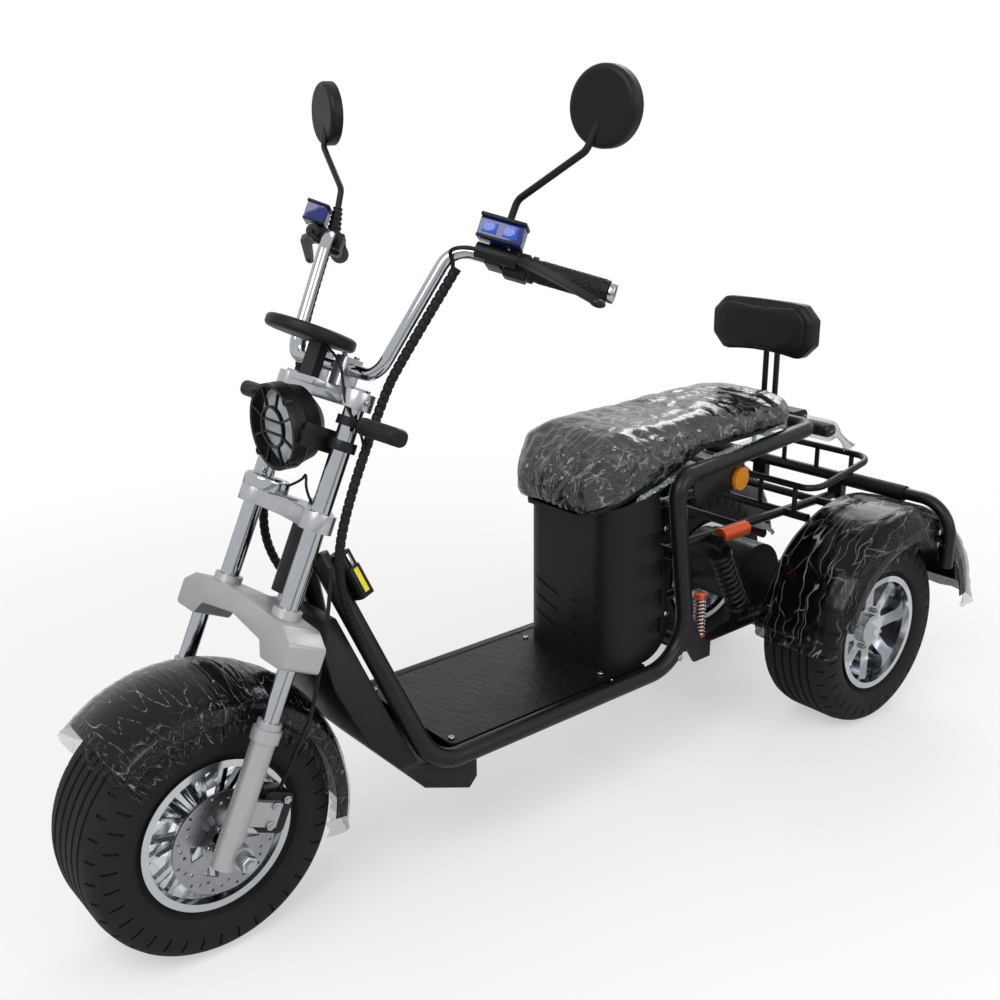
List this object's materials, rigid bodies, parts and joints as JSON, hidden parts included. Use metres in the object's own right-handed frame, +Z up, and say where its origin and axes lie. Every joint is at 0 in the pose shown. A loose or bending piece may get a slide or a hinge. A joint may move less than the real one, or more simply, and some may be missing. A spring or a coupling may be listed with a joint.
{
  "type": "electric scooter",
  "caption": "Step-through electric scooter with a steered front wheel in a telescopic fork, a driven rear axle under fenders, a long padded seat with backrest and a small rear rack",
  "frame": {"origin": "middle of the bounding box, on the floor under the wheels", "axes": "+X forward, +Y to the rider's left, +Z up"},
  "size_m": [2.1194, 0.9168, 1.4694],
  "materials": {
    "tyre_rubber": "matte black tyre rubber",
    "cast_silver": "polished cast aluminium",
    "silver_paint": "silver grey paint, satin",
    "chrome": "chrome plate",
    "steel": "brushed steel",
    "black_paint": "black paint, semi gloss",
    "grey_paint": "grey paint",
    "black_plastic": "moulded black plastic",
    "gloss_black": "gloss black moulded plastic",
    "vinyl": "black vinyl upholstery",
    "rubber": "black rubber",
    "lens": "clear lamp lens",
    "mirror_face": "mirror glass",
    "blue_tank": "translucent blue plastic",
    "amber": "amber reflector plastic",
    "orange_paint": "orange anodised canister",
    "battery_case": "battery case"
  },
  "bodies": {
    "frame": {"frame_neck": "black_paint", "frame_deck": "black_paint", "frame_loops": "black_paint", "frame_ladder": "black_paint", "neck_fairing": "black_plastic", "key_box": "black_plastic", "deck_plate": "black_plastic", "body_shell": "black_plastic", "battery": "battery_case", "seat_pan": "black_plastic", "seat_cushion": "vinyl", "backrest_posts": "black_paint", "backrest_pad": "vinyl", "fender_hoop": "black_paint", "rack_ring": "black_paint", "rear_fenders": "gloss_black", "axle_housing": "black_paint", "motor": "black_paint", "swingarm": "black_paint", "dampers": "black_paint", "damper_springs": "black_paint", "damper_cans": "orange_paint", "helper_springs": "steel", "side_plates": "black_paint", "side_reflectors": "amber", "rear_lamps": "black_plastic"},
    "steering": {"fork_tubes": "chrome", "fork_sliders": "silver_paint", "front_axle": "steel", "fork_crown": "silver_paint", "fork_yokes": "cast_silver", "handlebar": "chrome", "grips": "rubber", "grip_caps": "chrome", "brake_masters": "black_plastic", "fluid_tanks": "blue_tank", "switch_pods": "black_plastic", "mirrors": "black_plastic", "mirror_glass": "mirror_face", "display": "black_plastic", "headlight_shell": "black_plastic", "headlight_lens": "lens", "headlight_guard": "black_plastic", "headlight_bracket": "grey_paint", "front_signals": "black_plastic", "horn": "chrome", "front_fender": "gloss_black", "brake_caliper": "black_paint", "bar_harness": "rubber", "brake_hose": "rubber"},
    "front_wheel": {"front_tyre": "tyre_rubber", "front_rim": "cast_silver", "brake_disc": "steel"},
    "rear_wheel_left": {"rear_tyre_left": "tyre_rubber", "rear_rim_left": "cast_silver", "rear_hub_left": "steel"},
    "rear_wheel_right": {"rear_tyre_right": "tyre_rubber", "rear_rim_right": "cast_silver", "rear_hub_right": "steel"}
  },
  "joints": [
    {"name": "steer", "type": "hinge", "parent": "frame", "child": "steering", "pos_m": [0.79856, 0, 0.21294], "axis": [-0.4226, 0, 0.9063], "range_deg": [-33, 33], "deforming": ["bar_harness"]},
    {"name": "front_wheel_spin", "type": "hinge", "parent": "steering", "child": "front_wheel", "pos_m": [0.833, 0, 0.229], "axis": [0, 1, 0], "continuous": true},
    {"name": "rear_wheel_left_spin", "type": "hinge", "parent": "frame", "child": "rear_wheel_left", "pos_m": [-0.747, 0.265, 0.229], "axis": [0, 1, 0], "continuous": true},
    {"name": "rear_wheel_right_spin", "type": "hinge", "parent": "frame", "child": "rear_wheel_right", "pos_m": [-0.747, -0.265, 0.229], "axis": [0, 1, 0], "continuous": true}
  ]
}
